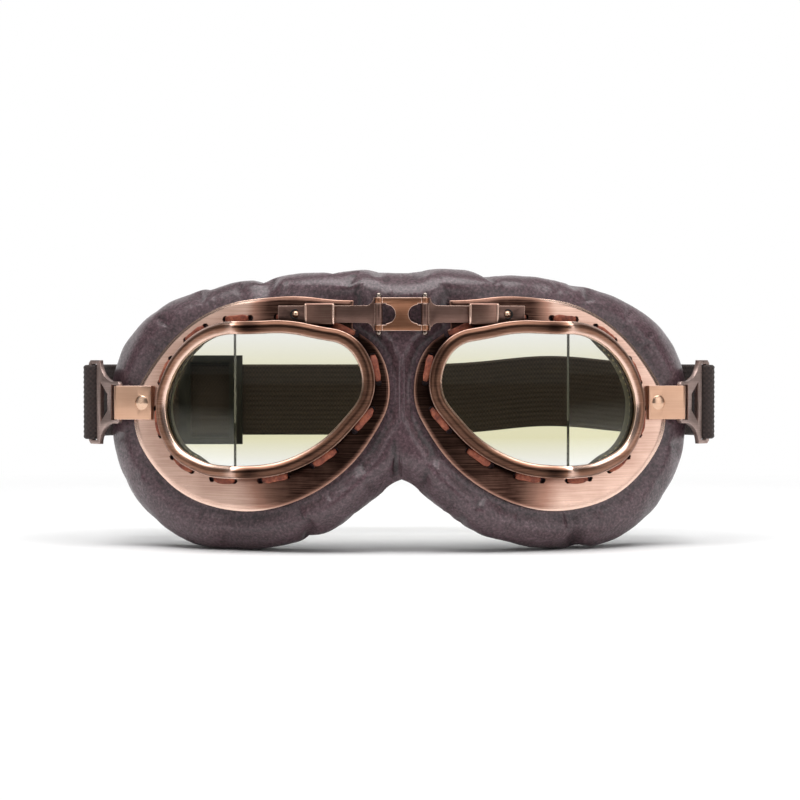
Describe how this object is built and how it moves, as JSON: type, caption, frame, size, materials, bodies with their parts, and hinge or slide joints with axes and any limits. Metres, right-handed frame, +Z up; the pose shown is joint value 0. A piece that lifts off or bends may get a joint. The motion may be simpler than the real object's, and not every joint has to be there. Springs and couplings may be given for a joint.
{
  "type": "aviator goggles",
  "caption": "Steampunk aviator goggles: bent lenses in copper eyecups, laced to a padded leather mask, with a sliding hinged bridge and elastic strap.",
  "frame": {"origin": "middle of the box round the goggles, on the level of the lower edge of the pads that they rest on", "axes": "+X to the viewer's right, +Y from the lenses back to the strap, +Z up as worn"},
  "size_m": [0.2138, 0.0842, 0.0928],
  "materials": {
    "antique_copper": "brushed antique copper plating with dark patina in the corners",
    "dark_copper": "dark antique copper, brighter on worn edges",
    "pale_steel": "plain worn steel",
    "black_rubber": "matt black",
    "clear_glass": "clear, faint yellow-green tint",
    "rust_lace": "smooth flat lace",
    "brown_leather": "pebbled, soft sheen, gathered at the outer edge",
    "black_lining": "short black velour",
    "foam": "open foam, hidden",
    "elastic_webbing": "ribbed dark brown elastic",
    "black_plastic": "moulded, satin"
  },
  "bodies": {
    "bridge": {"bridge_link": "antique_copper", "left_hinge_pin": "pale_steel", "right_hinge_pin": "pale_steel", "nose_leather": "brown_leather"},
    "left_bar": {"left_bridge_bar": "dark_copper", "left_bar_rivet": "pale_steel"},
    "left_cup": {"left_eyecup": "antique_copper", "left_lens_rim": "dark_copper", "left_lens_gasket": "black_rubber", "left_front_lens": "clear_glass", "left_side_lens": "clear_glass", "left_lacing": "rust_lace", "left_bridge_clip": "antique_copper", "left_strap_bracket": "antique_copper", "left_bracket_rivet": "pale_steel", "left_leather_cover": "brown_leather", "left_face_lining": "black_lining", "left_foam_core": "foam", "strap": "elastic_webbing"},
    "left_buckle": {"left_buckle": "dark_copper"},
    "right_bar": {"right_bridge_bar": "dark_copper", "right_bar_rivet": "pale_steel"},
    "right_cup": {"right_eyecup": "antique_copper", "right_lens_rim": "dark_copper", "right_lens_gasket": "black_rubber", "right_front_lens": "clear_glass", "right_side_lens": "clear_glass", "right_lacing": "rust_lace", "right_bridge_clip": "antique_copper", "right_strap_bracket": "antique_copper", "right_bracket_rivet": "pale_steel", "right_leather_cover": "brown_leather", "right_face_lining": "black_lining", "right_foam_core": "foam"},
    "right_buckle": {"right_buckle": "dark_copper"},
    "slider": {"strap_slider": "black_plastic"}
  },
  "joints": [
    {"name": "left_fold", "type": "hinge", "parent": "bridge", "child": "left_bar", "pos_m": [-0.00745, -0.03729, 0.077], "axis": [0, 0, -1], "range_deg": [-6, 8], "deforming": ["strap", "nose_leather"]},
    {"name": "left_bar_slide", "type": "slide", "parent": "left_bar", "child": "left_cup", "axis": [-0.9895, 0.1444, 0], "range_m": [-0.0022, 0.0018], "deforming": ["strap", "nose_leather"]},
    {"name": "left_buckle_swing", "type": "hinge", "parent": "left_cup", "child": "left_buckle", "pos_m": [-0.0937, -0.00927, 0.048], "axis": [0, 0, -1], "range_deg": [-60, 12], "deforming": ["strap"]},
    {"name": "right_fold", "type": "hinge", "parent": "bridge", "child": "right_bar", "pos_m": [0.00745, -0.03729, 0.077], "axis": [0, 0, 1], "range_deg": [-6, 8], "deforming": ["strap", "nose_leather"]},
    {"name": "right_bar_slide", "type": "slide", "parent": "right_bar", "child": "right_cup", "axis": [0.9895, 0.1444, 0], "range_m": [-0.0022, 0.0018], "deforming": ["strap", "nose_leather"]},
    {"name": "right_buckle_swing", "type": "hinge", "parent": "right_cup", "child": "right_buckle", "pos_m": [0.0937, -0.00927, 0.048], "axis": [0, 0, 1], "range_deg": [-60, 12], "deforming": ["strap"]},
    {"name": "strap_adjust", "type": "slide", "parent": "left_cup", "child": "slider", "axis": [1, 0, 0], "range_m": [-0.008, 0.06], "deforming": ["strap"]}
  ]
}
